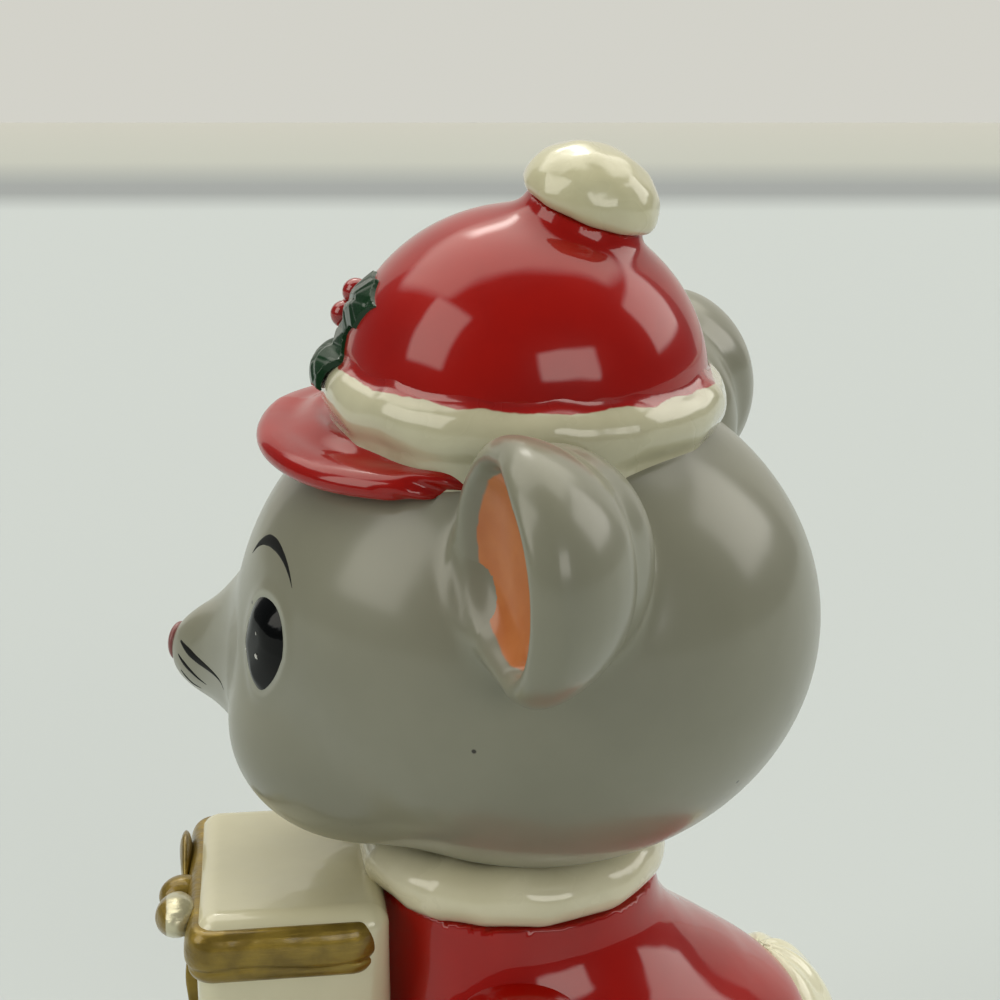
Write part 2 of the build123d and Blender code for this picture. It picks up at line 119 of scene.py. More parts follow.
def flatForm(outline, step=0.12, margin=4.0):
    # signed distance to a closed outline, kept as a table that is read with smooth steps
    a = np.array(outline, float)
    b = np.roll(a, -1, axis=0)
    low, high = a.min(0) - margin, a.max(0) + margin
    u = np.arange(low[0], high[0] + step, step)
    v = np.arange(low[1], high[1] + step, step)
    grid = np.stack(np.meshgrid(u, v, indexing="ij"), axis=-1)
    best = np.full(grid.shape[:2], 1e9)
    inside = np.zeros(grid.shape[:2], bool)
    for s, e in zip(a, b):
        run = e - s
        if not run.any():
            continue
        w = grid - s
        t = np.clip((w @ run) / (run @ run), 0, 1)
        best = np.minimum(best, np.sum((w - t[..., None] * run) ** 2, axis=-1))
        if s[1] != e[1]:
            crosses = (grid[..., 1] >= min(s[1], e[1])) & (grid[..., 1] < max(s[1], e[1]))
            inside ^= crosses & (w[..., 0] < w[..., 1] * run[0] / run[1])
    table = np.where(inside, -1, 1) * np.sqrt(best)

    def read(x, y):
        gx = np.clip((x - low[0]) / step, 0, len(u) - 1.001)
        gy = np.clip((y - low[1]) / step, 0, len(v) - 1.001)
        i, j = gx.astype(int), gy.astype(int)
        fx, fy = gx - i, gy - j
        base = (table[i, j] * (1 - fx) * (1 - fy) + table[i + 1, j] * fx * (1 - fy)
                + table[i, j + 1] * (1 - fx) * fy + table[i + 1, j + 1] * fx * fy)
        out = np.hypot(x - (low[0] + gx * step), y - (low[1] + gy * step))
        return base + out
    return read


def spun(place, outline):  # a turned form from (radius, height) points, axis to axis
    outline = roundOff(outline)
    read = flatForm(np.vstack([outline, (outline * [-1, 1])[::-1]]))

    def form(p):
        q = within(p, place)
        return read(np.hypot(q[:, 0], q[:, 1]), q[:, 2])
    return form


def limb(soft, *stations):  # round limb through (point, radius) stations
    pieces = []
    for (a, ra), (b, rb) in zip(stations, stations[1:]):
        pieces.append((np.array(a, float), np.array(b, float) - np.array(a, float), ra, rb))

    def form(p):
        out = None
        for a, run, ra, rb in pieces:
            w = p - a
            t = np.clip(w @ run / (run @ run), 0, 1)
            d = np.linalg.norm(w - t[:, None] * run, axis=1) - (ra + (rb - ra) * t)
            out = d if out is None else softMin(soft, out, d)
        return out
    return form


def pushedIn(form, dents):  # dents gives the depth in millimetres at each point
    return lambda p: form(p) + dents(p)


def slope(form, p, reach=0.03):
    g = np.empty_like(p)
    for i in range(3):
        step = np.zeros(3)
        step[i] = reach
        g[:, i] = form(p + step) - form(p - step)
    return g / (2 * reach)


def onto(form, p, rounds=4, most=1.0):  # points moved onto the surface of a form
    for _ in range(rounds):
        g = slope(form, p)
        move = form(p)[:, None] * g / np.maximum(np.sum(g * g, axis=1), 0.05)[:, None]
        far = np.linalg.norm(move, axis=1, keepdims=True)
        p = p - move * np.minimum(1, most / np.maximum(far, 1e-9))
    return p


def skinOf(form, low, high, cell):
    block, reach = 4, 3 * cell  # coarse blocks far from the surface only get their sign
    low = np.array(low, float) - block * cell
    blocks = np.ceil((np.array(high, float) + block * cell - low) / (block * cell)).astype(int)
    at = np.stack(np.meshgrid(*[np.arange(n) for n in blocks], indexing="ij"), axis=-1).reshape(-1, 3)
    coarse = form(low + (at * block + 1.5) * cell)
    field = np.sign(coarse).reshape(blocks) * reach
    for axis in range(3):
        field = np.repeat(field, block, axis=axis)
    inner = np.stack(np.meshgrid(*[np.arange(block)] * 3, indexing="ij"), axis=-1).reshape(-1, 3)
    at = at[np.abs(coarse) < 7 * cell]
    for part in np.array_split(at, max(1, len(at) // 6000)):
        cells = (part[:, None, :] * block + inner[None]).reshape(-1, 3)
        field[cells[:, 0], cells[:, 1], cells[:, 2]] = form(low + cells * cell)
    grid = openvdb.FloatGrid(reach)
    grid.copyFromArray(np.clip(field, -reach, reach))
    points, quads = grid.convertToQuads()
    points = onto(form, low + np.array(points, float) * cell, most=cell)
    return points, np.array(quads)


def wear(obj, material, nodes):
    obj.data.materials.clear()
    obj.data.materials.append(material)
    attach(obj, "root")
    if nodes:
        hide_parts(*nodes)
    return obj


def meshFrom(name, points, faces, normals=None):
    mesh = bpy.data.meshes.new(name)
    mesh.from_pydata((np.asarray(points) / 1000).tolist(), [], [list(map(int, f)) for f in faces])
    mesh.update()
    mesh.shade_smooth()
    if normals is not None:
        mesh.normals_split_custom_set_from_vertices(normals.tolist())
    obj = bpy.data.objects.new(name, mesh)
    bpy.context.scene.collection.objects.link(obj)
    return obj


def cast(name, form, nodes, material, cell=0.5, room=1.0, marks=None, box=None):
    # one ceramic piece: its form skinned, dressed and given the paint marks its material reads
    corners = box or [np.array([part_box(n) for n in nodes])[:, 0].min(0) * 1000 - room,
                      np.array([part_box(n) for n in nodes])[:, 1].max(0) * 1000 + room]
    points, quads = skinOf(form, corners[0], corners[1], cell)
    a, b, c = (points[quads[:, i]] for i in range(3))
    g = slope(form, points)
    g /= np.maximum(np.linalg.norm(g, axis=1, keepdims=True), 1e-9)
    if np.mean(np.sum(np.cross(b - a, c - a) * g[quads[:, 0]], axis=1)) < 0:
        quads = quads[:, ::-1]
    obj = meshFrom(name, points, quads, g)
    for mark, values in (marks or {}).items():
        obj.data.attributes.new(mark, "FLOAT", "POINT").data.foreach_set("value", values(points).astype(np.float32))
    wear(obj, material, nodes)
    report(f"{name}: {len(quads)} quads")
    return obj


def brushMark(name, form, route, widths, material, on, high=0.06):
    # one stroke of slightly raised paint laid over a form, its route given in a place's own axes
    count, corners = 34, 12
    points = outOf(roundOff(route), on)
    run = np.concatenate([[0], np.cumsum(np.linalg.norm(np.diff(points, axis=0), axis=1))])
    steps = np.linspace(0, run[-1], count)
    line = onto(form, np.stack([np.interp(steps, run, points[:, i]) for i in range(3)], axis=1))
    wide = np.interp(steps / run[-1], np.linspace(0, 1, len(widths)), widths) / 2
    normal = slope(form, line)
    normal /= np.linalg.norm(normal, axis=1, keepdims=True)
    along = np.gradient(line, axis=0)
    across = np.cross(normal, along / np.linalg.norm(along, axis=1, keepdims=True))
    rings = []
    for angle in np.linspace(0, 2 * math.pi, corners, endpoint=False):
        side = onto(form, line + across * (wide * math.cos(angle))[:, None])
        rings.append(side + normal * (high * math.sin(angle) * np.minimum(1, wide * 6))[:, None])
    faces = [(i * count + k, i * count + k + 1, (i + 1) % corners * count + k + 1, (i + 1) % corners * count + k)
             for i in range(corners) for k in range(count - 1)]
    faces += [[i * count for i in range(corners)], [i * count + count - 1 for i in range(corners)][::-1]]
    obj = meshFrom(name, np.vstack(rings), faces)
    work = bmesh.new()
    work.from_mesh(obj.data)
    bmesh.ops.recalc_face_normals(work, faces=work.faces)
    work.to_mesh(obj.data)
    work.free()
    return wear(obj, material, [])


# finishes

def adder(tree):  # adds one node, its sockets either set to a value or linked to another node's socket
    def add(kind, sockets=None, **settings):
        node = tree.nodes.new(kind)
        for key, value in settings.items():
            setattr(node, key, value)
        for label, value in (sockets or {}).items():
            if isinstance(value, bpy.types.NodeSocket):
                tree.links.new(value, node.inputs[label])
            else:
                node.inputs[label].default_value = value
        return node
    return add


def cleared(owner):
    owner.use_nodes = True
    owner.node_tree.nodes.clear()
    return owner.node_tree


def maths(add, operation, *values):
    return add("ShaderNodeMath", dict(enumerate(values)), operation=operation).outputs[0]


def smooth(add, value, low, high):
    edges = {"Value": value, "From Min": low, "From Max": high}
    return add("ShaderNodeMapRange", edges, interpolation_type="SMOOTHSTEP").outputs["Result"]


def blend(add, kind, fac, a, b):
    return add("ShaderNodeMix", dict(Factor=fac, A=a, B=b), data_type=kind).outputs["Result"]


def glaze(name, look):
    # fired glaze over underglaze colour; look["paint"] lists masks that are read from attributes
    material = bpy.data.materials.new(name)
    add = adder(cleared(material))
    where = add("ShaderNodeTexCoord").outputs["Object"]

    def noise(scale, detail=3.0, rough=0.5, at=where):
        sockets = dict(Vector=at, Scale=scale, Detail=detail, Roughness=rough)
        return add("ShaderNodeTexNoise", sockets).outputs["Fac"]

    def patchy(scale, detail, paint):
        return blend(add, "RGBA", smooth(add, noise(scale, detail), 0.3, 0.7), paint["colour"], paint["shade"])

    colour = patchy(look.get("patch", 60), 4, look)
    for paint in look.get("paint", ()):
        value = add("ShaderNodeAttribute", attribute_name=paint["mark"]).outputs["Fac"]
        ragged = maths(add, "SUBTRACT", noise(paint.get("scale", 400), 3), 0.5)
        value = maths(add, "MULTIPLY_ADD", ragged, paint.get("ragged", 0.6), value)
        mask = smooth(add, value, paint.get("soft", 0.12), -paint.get("soft", 0.12))
        if paint.get("strength", 1) < 1:
            mask = maths(add, "MULTIPLY", mask, paint["strength"])
        colour = blend(add, "RGBA", mask, colour, patchy(paint.get("patch", 150), 3, paint))
    if look.get("specks"):
        specks = look["specks"]
        cells = add("ShaderNodeTexVoronoi", dict(Vector=where, Scale=specks["scale"]))
        chosen = add("ShaderNodeSeparateColor", {0: cells.outputs["Color"]})
        keep = maths(add, "LESS_THAN", chosen.outputs[0], specks["share"])
        dot = smooth(add, cells.outputs["Distance"], specks["size"], specks["size"] * 0.5)
        colour = blend(add, "RGBA", maths(add, "MULTIPLY", keep, dot), colour, specks["colour"])
    least, most = look["roughness"]
    worn = {"Value": noise(look.get("roughPatch", 90), 4), "To Min": least, "To Max": most}

    def raisedBy(height, strength, **under):
        return add("ShaderNodeBump", dict(Strength=strength, Distance=0.001, Height=height, **under)).outputs[0]

    waves = surface = raisedBy(noise(look.get("wave", 110), 2, 0.4), look.get("bump", 0.25))
    if look.get("brush"):
        brush = look["brush"]
        stretched = add("ShaderNodeMapping", dict(Vector=where, Scale=brush["stretch"])).outputs[0]
        surface = raisedBy(noise(brush["scale"], 4, at=stretched), brush["strength"], Normal=waves)
    body = add("ShaderNodeBsdfPrincipled", {
        "Base Color": colour, "Roughness": add("ShaderNodeMapRange", worn).outputs["Result"], "Normal": surface,
        "Coat Normal": waves, "Metallic": look.get("metal", 0), "IOR": 1.5, "Coat IOR": 1.5,
        "Specular IOR Level": look.get("shine", 0.25), "Coat Weight": look.get("coat", 1.0),
        "Coat Roughness": look.get("coatRoughness", 0.04)})
    add("ShaderNodeOutputMaterial", {0: body.outputs[0]})
    return material


def srgb(r, g, b):
    return (*[((c / 255 + 0.055) / 1.055) ** 2.4 if c > 10 else c / 255 / 12.92 for c in (r, g, b)], 1)


orangeSlip = dict(mark="lining", colour=srgb(202, 126, 68), shade=srgb(188, 108, 52), ragged=0.8, scale=260,
                  soft=0.1)
# painted highlight: a paler ring of grey glaze round each eye, for the light caught by the raised lid rims
lidHighlight = dict(mark="lid", colour=srgb(164, 165, 150), shade=srgb(154, 155, 140), ragged=0.25, scale=300, soft=0.3,
               strength=0.6)
greyLook = dict(colour=srgb(136, 135, 117), shade=srgb(128, 127, 109), patch=45, roughness=(0.3, 0.42),
                coat=0.6, coatRoughness=0.16, bump=0.12, wave=95,
                specks=dict(scale=240, share=0.05, size=0.08, colour=srgb(40, 36, 30)))
greyGlaze = glaze("greyGlaze", greyLook)
headGlaze = glaze("headGlaze", dict(greyLook, paint=[lidHighlight]))
earGlaze = glaze("earGlaze", dict(greyLook, paint=[orangeSlip]))
redLook = dict(colour=srgb(166, 14, 2), shade=srgb(150, 10, 2), patch=70, roughness=(0.25, 0.35), coat=0.8,
               coatRoughness=0.03, shine=0.08, bump=0.16, wave=110,
               specks=dict(scale=300, share=0.008, size=0.1, colour=srgb(236, 190, 170)))
redGlaze = glaze("redGlaze", redLook)
redStroke = dict(mark="redEdge", colour=srgb(166, 14, 2), shade=srgb(146, 10, 2), ragged=1.3, scale=190, soft=0.08)
furLook = dict(colour=srgb(214, 209, 178), shade=srgb(200, 194, 161), patch=90, roughness=(0.2, 0.34),
               coatRoughness=0.05, bump=0.3, wave=170)
furGlaze = glaze("furGlaze", dict(furLook, colour=srgb(224, 218, 189), shade=srgb(212, 206, 174)))
bandLook = dict(furLook, colour=srgb(201, 197, 167), shade=srgb(188, 183, 152), paint=[redStroke])
bandGlaze = glaze("bandGlaze", bandLook)
pompomLook = dict(furLook, colour=srgb(210, 206, 172), shade=srgb(198, 193, 156), wave=230)
pompomGlaze = glaze("pompomGlaze", pompomLook)
eyeLook = dict(colour=srgb(5, 6, 6), shade=srgb(3, 4, 4), roughness=(0.12, 0.2), coat=0.28, coatRoughness=0.02,
               bump=0.08, shine=0.05)
blackGlaze = glaze("blackGlaze", eyeLook)
linerLook = dict(colour=srgb(14, 14, 13), shade=srgb(22, 22, 20), roughness=(0.5, 0.7), coat=0.1,
                 coatRoughness=0.3, bump=0.1, shine=0.1)
blackPaint = glaze("blackPaint", linerLook)
glintLook = dict(colour=srgb(232, 232, 224), shade=srgb(214, 214, 206), roughness=(0.3, 0.4), coatRoughness=0.1,
                 bump=0.1)
eyeHighlightPaint = glaze("eyeHighlightPaint", glintLook)
noseLook = dict(colour=srgb(138, 82, 79), shade=srgb(122, 70, 68), roughness=(0.3, 0.42), coat=0.5,
                coatRoughness=0.15, bump=0.12)
nosePink = glaze("nosePink", noseLook)
leafLook = dict(colour=srgb(18, 56, 26), shade=srgb(12, 40, 20), roughness=(0.2, 0.3), bump=0.2, coat=0.4,
                coatRoughness=0.04, shine=0.12)
hollyGreen = glaze("hollyGreen", leafLook)
berryLook = dict(colour=srgb(176, 26, 20), shade=srgb(150, 16, 12), roughness=(0.15, 0.25), bump=0.1)
berryRed = glaze("berryRed", berryLook)
boxLook = dict(colour=srgb(220, 215, 183), shade=srgb(211, 205, 171), patch=50, roughness=(0.2, 0.3),
               coatRoughness=0.05, bump=0.22, wave=140)
boxGlaze = glaze("boxGlaze", boxLook)
goldLook = dict(colour=srgb(148, 124, 46), shade=srgb(116, 95, 32), patch=260, roughness=(0.32, 0.5), metal=0.55,
                coat=0.6, coatRoughness=0.12, bump=0.2, wave=200,
                brush=dict(stretch=(1, 0.25, 1.6), scale=900, strength=0.25))
goldGlaze = glaze("goldGlaze", goldLook)
bareLoop = dict(mark="bare", colour=srgb(214, 209, 178), shade=srgb(200, 194, 161), ragged=0.5, scale=320, soft=0.1)
loopGlaze = glaze("loopGlaze", dict(goldLook, paint=[bareLoop]))
sackLook = dict(colour=srgb(236, 233, 204), shade=srgb(224, 219, 188), patch=60, roughness=(0.22, 0.34),
                coatRoughness=0.06, bump=0.25, wave=130)
sackGlaze = glaze("sackGlaze", sackLook)
report("finishes")


# head, with its ears, eyes and painted marks
head = dict(height=92.5, back=0.3, turn=-21, lean=3, skull=(30.8, 33.2, 28.7), jowl=(15, 15.5, 13.5),
            jowlAt=(10.5, -16.4, -11), tip=(0, -44.4, -9.6), pitch=6)
headPlace = spot(turn=(0, head["lean"], 0), on=spot(0, head["back"], head["height"], turn=(0, 0, head["turn"])))
snoutPlace = spot(*head["tip"], turn=(-90 + head["pitch"], 0, 0), on=headPlace)
snoutLine = [(0, 0), (1.5, 0), (2.4, 0.12), (3.5, 0.8), (5.0, 2.7), (7.0, 6.5), (10.8, 10.8), (14.6, 14.4), (19, 18),
             (19, 24), (0, 24)]
eyes = dict(out=21.3, forward=23.2, rise=1.8, turn=47, proud=1.2, rounding=3.4, rim=0.16, rimAt=0.5, rimWidth=0.9,
            lidHighlightPast=0.55)
eyePlaces = [spot(side * eyes["out"], -eyes["forward"], eyes["rise"], turn=(0, 0, side * eyes["turn"]), on=headPlace)
             for side in (1, -1)]
bareHead = join(5.0, egg(headPlace, head["skull"]),
                *[egg(spot(side * head["jowlAt"][0], *head["jowlAt"][1:], on=headPlace), head["jowl"])
                  for side in (1, -1)])
face = join(3.0, bareHead, spun(snoutPlace, snoutLine))

ears = dict(out=35.5, back=6.95, rise=17.7, turn=35, root=(9.6, 10.2, 11.9), rootAt=(-6, 7.5, -1.9),
            hollow=(12.5, 6.5, 12.5), hollowAt=-2.5, lip=0.95, lipRadius=10.7, lipSize=(1.3, 1.6), stub=4.5,
            liningRadius=9.4, liningDepth=(1.1, 6.2))
earLine = [(0, -4.6), (5.5, -4.6), (8.0, -4.1), (9.2, -2.9), (9.7, -1.6), (10.2, -0.5), (10.8, 0.0),
           (11.6, -0.25), (12.5, -1.0), (12.9, -2.0), (12.8, -3.2), (12.4, -4.6), (11.7, -6.2), (10.4, -8.2),
           (8.2, -10.4), (5.4, -11.8), (0, -12.3)]
earBases = [spot(side * ears["out"], ears["back"], ears["rise"], turn=(0, 0, side * ears["turn"]), on=headPlace)
            for side in (1, -1)]
earForms = []
for side, base in zip((1, -1), earBases):
    cup = spun(spot(turn=(90, 0, 0), on=base), earLine)
    root = egg(spot(side * ears["rootAt"][0], *ears["rootAt"][1:], on=base), ears["root"])
    hollow = egg(spot(0, ears["hollowAt"], 0, on=base), ears["hollow"])
    dish = join(3.0, cup, cut(1.5, root, hollow))

    def thickLip(p, base=base, side=side):  # the outer half of the rim stands further forward
        q = within(p, base)
        past = (np.hypot(q[:, 0], q[:, 2]) - ears["lipRadius"]) / ears["lipSize"][0]
        crest = np.exp(-past ** 2 - (q[:, 1] / ears["lipSize"][1]) ** 2)
        return -ears["lip"] * crest * np.clip(q[:, 0] * side / 6, 0, 1)
    earForms.append(pushedIn(dish, thickLip))


def earStub(form):  # the head's own clay only runs a little way up each ear
    return lambda p: np.maximum(form(p) + 0.06, bareHead(p) - ears["stub"])


headForm = join(2.6, face, *[earStub(form) for form in earForms])
eyeLine = roundOff([(4.71, 0.11), (4.82, 2.21), (3.66, 4.46), (1.66, 5.51), (-1.02, 5.4), (-2.9, 4.2),
                    (-3.9, 1.98), (-4.56, 0.03), (-4.1, -1.7), (-2.96, -3.75), (-1.4, -5.1), (0.4, -5.25),
                    (2.0, -3.94), (3.6, -2.04), (4.71, 0.11)], 2)
eyeFlat = flatForm(eyeLine)


def eyeEdge(p, side, place):
    q = within(p, place)
    return np.where(np.abs(q[:, 1]) < 6, eyeFlat(q[:, 0] * side, q[:, 2]), 9.0)


def lidRims(p):  # the clay stands up a little round each eye
    out = np.zeros(len(p))
    for side, place in zip((1, -1), eyePlaces):
        out -= eyes["rim"] * np.exp(-((eyeEdge(p, side, place) - eyes["rimAt"]) / eyes["rimWidth"]) ** 2)
    return out


# where the painted highlight round each eye is laid, read through the lid mark
def lidHighlightRing(p):
    return np.minimum(*[eyeEdge(p, side, place) for side, place in zip((1, -1), eyePlaces)]) - eyes["lidHighlightPast"]


headForm = pushedIn(headForm, lidRims)
cast("headCasting", headForm, ["head"], headGlaze, cell=0.46, marks=dict(lid=lidHighlightRing))

for side, name, base, form in zip((1, -1), ("left", "right"), earBases, earForms):
    def lining(p, base=base):
        q = within(p, base)
        r = np.hypot(q[:, 0], q[:, 2])
        shallow, deep = ears["liningDepth"]
        return np.maximum(np.maximum(r - ears["liningRadius"], q[:, 1] - deep), (shallow - q[:, 1]) * 1.5)
    cast(f"ear_{name}_dish", cut(0.3, form, sunk(bareHead, 1.2)), [f"ear_{name}"], earGlaze,
         cell=0.4, marks=dict(lining=lining))


def boxRound(place, reach):
    return [np.array(place.translation) - reach, np.array(place.translation) + reach]


for side, name, place in zip((1, -1), ("left", "right"), eyePlaces):
    def eyeForm(p, side=side, place=place):
        edge = eyeEdge(p, side, place)
        swell = eyes["proud"] * (1 - (1 - np.clip(-edge / eyes["rounding"], 0, 1)) ** 2)
        return np.maximum(np.maximum(edge, face(p) - swell), -face(p) - eyes["proud"])
    cast(f"eye_{name}_button", eyeForm, [f"eye_{name}"], blackGlaze, cell=0.2, box=boxRound(place, 8))
    mirror = np.array([side, 1, 1])
    # painted highlight: white strokes laid over each eye's glossy black for its glint
    glints = dict(glintDown=([(20.5, -24.45, 3.0), (20.95, -24.2, 1.68), (21.5, -23.8, 0.4)], (0.2, 0.7, 0.2)),
                  glintUp=([(19.95, -25.2, 0.7), (20.93, -24.2, 1.9), (21.97, -22.97, 3.27)], (0.2, 0.6, 0.16)),
                  glintOut=([(20.75, -24.4, 1.63), (21.6, -23.6, 1.44), (22.42, -22.8, 1.0)], (0.4, 0.5, 0.16)))
    for mark, (route, widths) in glints.items():
        brushMark(f"{mark}_{name}", eyeForm, np.array(route) * mirror, widths, eyeHighlightPaint,
                  headPlace, high=0.2)
    liner = dict(
        brow=([(14.08, -27.5, 9.32), (14.71, -26.36, 10.8), (16.2, -24.6, 11.99), (18.37, -22.63, 12.17),
               (20.62, -20.82, 11.43), (22.1, -19.76, 10.39), (23.09, -19.14, 9.35)],
              (0.1, 0.8, 1.3, 1.2, 0.8, 0.45, 0.06)),
        whiskerTop=([(4.03, -42.18, -6.76), (5.36, -40.65, -7.38), (6.46, -38.99, -7.93), (7.74, -37.22, -8.12),
                     (9.19, -35.52, -8.23), (10.36, -34.23, -8.49), (10.82, -33.68, -9.27)],
                    (0.3, 0.95, 0.85, 0.6, 0.35, 0.1)),
        whiskerMid=([(4.36, -42.48, -8.39), (5.09, -41.45, -9.18), (5.67, -40.3, -9.86), (6.1, -39.2, -10.5),
                     (6.89, -37.81, -10.79)], (0.2, 0.62, 0.55, 0.35, 0.08)),
        whiskerLow=([(4.32, -42.32, -10.4), (4.5, -41.5, -11.31), (4.64, -40.67, -11.96), (5.31, -39.3, -12.12)],
                    (0.15, 0.42, 0.36, 0.08)))
    for mark, (route, widths) in liner.items():
        brushMark(f"{mark}_{name}", headForm, np.array(route) * mirror, widths, blackPaint, headPlace)

nose = dict(at=(0, -44.4, -8.6), half=(2.5, 1.0, 2.4))
nosePlace = spot(*nose["at"], on=headPlace)
cast("noseBead", egg(nosePlace, nose["half"]), ["nose"], nosePink, cell=0.2, box=boxRound(nosePlace, 4))
report("head done")


# hat
hat = dict(rise=24, back=-0.3, tilt=3, radius=20.2, height=19, base=3.4, floor=-12)
hatPlace = spot(0, hat["back"], hat["rise"], turn=(-hat["tilt"], 0, 0), on=headPlace)
pompom = dict(back=6.0, rise=22.4, tilt=19, half=(7.5, 7.5, 5.65), middle=1.3, foot=6.2, lumps=0.09,
              stalk=[(0, 0.1), (6.2, 0.1), (6.5, -0.4), (6.7, -1.6), (7.4, -3.4), (8.6, -5.5), (0, -5.5)])
pompomPlace = spot(0, pompom["back"], pompom["rise"], turn=(-pompom["tilt"], 0, 0), on=hatPlace)


def dome(p):
    q = within(p, hatPlace)
    half = np.array([hat["radius"], hat["radius"], hat["height"]])
    upper = bulge((q - [0, 0, hat["base"]]) / half, half)
    return np.where(q[:, 2] > hat["base"], upper, np.hypot(q[:, 0], q[:, 1]) - hat["radius"])


def hatFloor(p):
    return within(p, hatPlace)[:, 2] - hat["floor"]


crownForm = cut(0.2, join(2.6, dome, spun(pompomPlace, pompom["stalk"])), hatFloor, sunk(bareHead, 1.0))
cast("hatCrown", crownForm, ["hat_crown"], redGlaze, cell=0.5)


def fingerDents(place, radius, width, rows, depth, seed):
    # shallow thumbed hollows all round a rolled fur edge, with soft ridges between them
    rng = np.random.default_rng(seed)
    count = int(2 * math.pi * radius / width)
    centres = []
    for row in rows:
        for i in range(count):
            angle = (i + 0.5 * (len(centres) // count % 2) + rng.uniform(-0.25, 0.25)) / count
            centres.append((angle * 2 * math.pi * radius, row + rng.uniform(-0.4, 0.4), rng.uniform(0.7, 1.15)))

    def dents(p):
        q = within(p, place)
        around = np.arctan2(q[:, 1], q[:, 0]) % (2 * math.pi) * radius
        out = np.full(len(p), 9.0)
        whole = 2 * math.pi * radius
        for a, z, size in centres:
            da = np.abs(around - a)
            da = np.minimum(da, whole - da)
            d = (da / (width * 0.62 * size)) ** 2 + ((q[:, 2] - z) / (width * 0.5 * size)) ** 2
            h = np.maximum(0.5 - np.abs(out - d), 0) / 0.5
            out = np.minimum(out, d) - h ** 2 * 0.125
        return depth * np.maximum(1 - out, 0)
    return dents


def ringForm(place, radius, halfThick, halfHigh, middle=0.0):
    def form(p):
        q = within(p, place)
        s = np.stack([(np.hypot(q[:, 0], q[:, 1]) - radius) / halfThick, (q[:, 2] - middle) / halfHigh], axis=1)
        return bulge(s, [halfThick, halfHigh])
    return form


band = dict(radius=20.2, halfThick=2.7, halfHigh=3.3, middle=2.3, skirt=(15.2, 21.6), skirtEnd=-9, runOut=(15.5, 9),
            redAt=5.3, redLeast=21.4, dents=dict(radius=22, width=10.5, rows=(0.2, 3.6), depth=0.7, seed=4))


def bandSkirt(p):
    q = within(p, hatPlace)
    r = np.hypot(q[:, 0], q[:, 1])
    inner, outer = band["skirt"]
    ends = np.maximum(q[:, 2] - band["middle"], band["skirtEnd"] - q[:, 2])
    return np.maximum(np.maximum(r - outer, inner - r), ends)


bandRing = ringForm(hatPlace, band["radius"], band["halfThick"], band["halfHigh"], band["middle"])
bandRoll = join(1.5, bandRing, bandSkirt)
bandFacets = pushedIn(bandRoll, fingerDents(hatPlace, **band["dents"]))


def domeUnder(p):  # what the band's upper edge runs out on, just under the red dome
    q = within(p, hatPlace)
    inner, top = band["runOut"]
    wall = np.maximum(dome(p) + 0.1, inner - np.hypot(q[:, 0], q[:, 1]))
    return np.maximum(wall, np.maximum(q[:, 2] - top, -q[:, 2]))


bandForm = cut(0.3, join(2.4, bandFacets, domeUnder), sunk(bareHead, 0.8))


def redEdge(p):  # where the red of the dome was brushed down over the fur
    q = within(p, hatPlace)
    return band["redAt"] - q[:, 2] + np.maximum(0, np.hypot(q[:, 0], q[:, 1]) - band["redLeast"]) * 0.6


cast("hatBand", bandForm, ["hat_band"], bandGlaze, cell=0.45, marks=dict(redEdge=redEdge))

peak = dict(reach=29.8, forward=6.2, rise=-0.3, slope=7, thick=3.5, inner=17, droop=0.9, rimThinner=0.55,
            endAt=(23.6, -7.0), endRun=(0.928, 0.371), endRound=1.6, hollows=[(0.5, 4.2, 1.6), (0.25, 7.4, 0.7)])


def peakForm(p):
    q = within(p, hatPlace)
    r = np.hypot(q[:, 0], q[:, 1])
    lean = math.radians(peak["slope"])
    mid = peak["rise"] - (r - peak["inner"]) * math.tan(lean) - peak["thick"] / 2 / math.cos(lean)
    outer = np.hypot(q[:, 0], q[:, 1] + peak["forward"]) - (peak["reach"] - peak["forward"])
    mid = mid - peak["droop"] * np.clip(np.abs(q[:, 0]) / 20, 0, 1) * np.clip((r - 20) / 6, 0, 1)
    off = (q[:, 2] - mid) * math.cos(lean)
    dish = sum(deep * np.exp(-((outer + fromRim) / wide) ** 2) for deep, fromRim, wide in peak["hollows"])
    off = np.where(off > 0, off + dish, off)
    half = peak["thick"] / 2 - peak["rimThinner"] * np.clip((outer + 6) / 6, 0, 1)
    (endOut, endBack), (runOut, runBack) = peak["endAt"], peak["endRun"]
    end = (np.abs(q[:, 0]) - endOut) * runOut + (q[:, 1] - endBack) * runBack
    end = end + 0.35 * np.sin(q[:, 2] * 2.6 + q[:, 1] * 0.9)
    side = np.maximum(outer + half, peak["inner"] + 1 - r)
    flat = np.stack([np.maximum(side, 0), np.abs(off)], axis=1)
    body = np.where(side > 0, np.linalg.norm(flat, axis=1) - half, np.abs(off) - half)
    return -softMin(peak["endRound"], -body, -end)


cast("hatPeak", cut(0.4, peakForm, sunk(bareHead, 0.6)), ["hat_peak"], redGlaze, cell=0.4)


def pompomForm(p):
    q = within(p, pompomPlace)
    half, middle = np.array(pompom["half"]), pompom["middle"]
    upper = bulge((q - [0, 0, middle]) / half, half)
    past = np.maximum(np.hypot(q[:, 0], q[:, 1]) - pompom["foot"], 0)
    lower = np.hypot(past, np.maximum(middle - q[:, 2], 0)) - middle
    lumps = np.sin(q[:, 0] * 1.1 + 1) * np.sin(q[:, 1] * 1.25 + 2) * np.sin(q[:, 2] * 1.2 + 0.6)
    return np.where(q[:, 2] > middle, upper, np.maximum(lower, -q[:, 2])) + pompom["lumps"] * lumps


cast("pompomBall", pompomForm, ["pompom"], pompomGlaze, cell=0.3)
report("hat done")


# holly: three leaves and three berries
holly = dict(reach=19.1, rise=9, lean=20, length=12, width=3.9, start=1.2, relief=1.5, turns=(-28, 24, 168),
             sag=0.12, rib=0.25, vein=0.07, berriesAt=1.3)
hollyPlace = spot(0, -holly["reach"], holly["rise"], turn=(90 - holly["lean"], 0, 0), on=hatPlace)


